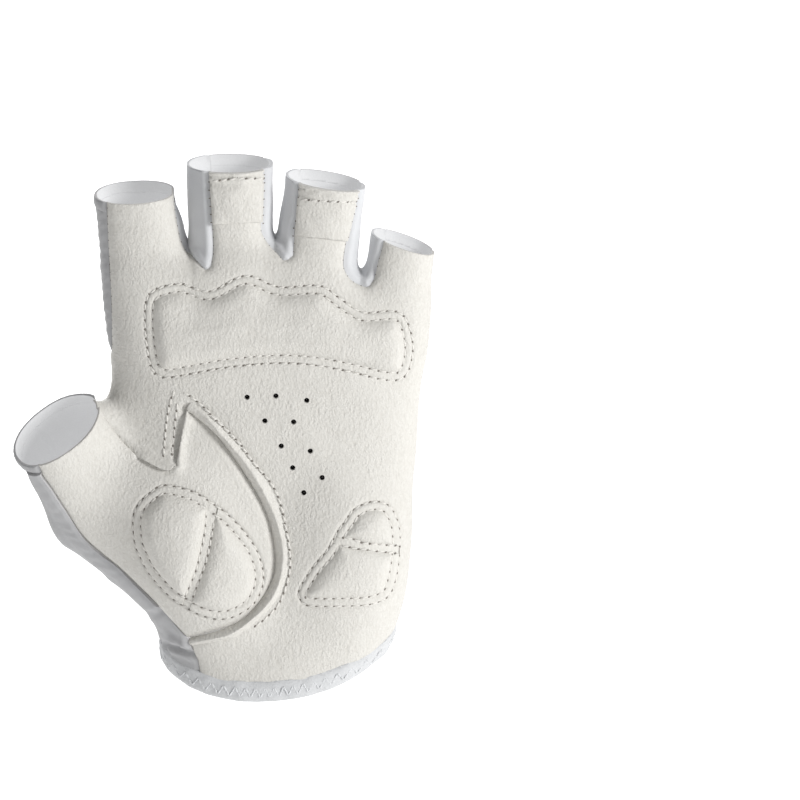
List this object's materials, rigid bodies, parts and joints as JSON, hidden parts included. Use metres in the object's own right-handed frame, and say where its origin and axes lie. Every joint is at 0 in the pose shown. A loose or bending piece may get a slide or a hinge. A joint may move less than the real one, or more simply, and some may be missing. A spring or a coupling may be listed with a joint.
{
  "type": "cycling glove",
  "caption": "Fingerless cycling glove with padded leather palm, ribbed knit back, stretch finger sides and an elastic wrist band, open as worn.",
  "frame": {"origin": "centre of the wrist opening, where the wrist enters", "axes": "+Z from the wrist to the fingertips, -Y out of the palm, -X towards the thumb"},
  "size_m": [0.1203, 0.0443, 0.1584],
  "materials": {
    "leather": "soft warm white grained leather",
    "knit": "matte fine ribbed knit",
    "stretch": "smooth white stretch cloth",
    "elastic": "white elastic band"
  },
  "bodies": {
    "root": {"palm_panel": "leather", "thumb_panel": "leather", "back_panel": "knit", "wrist_band": "elastic", "thumb_welt": "leather", "fourchette_index_middle": "stretch", "fourchette_middle_ring": "stretch", "fourchette_ring_little": "stretch", "hem_index": "knit", "hem_middle": "knit", "hem_ring": "knit", "hem_little": "knit", "hem_thumb": "knit", "pull_tab_middle": "leather", "pull_tab_ring": "leather", "knuckle_pad": "leather", "thenar_pad_outer": "leather", "thenar_pad_inner": "leather", "heel_pad_upper": "leather", "heel_pad_lower": "leather"}
  },
  "joints": []
}
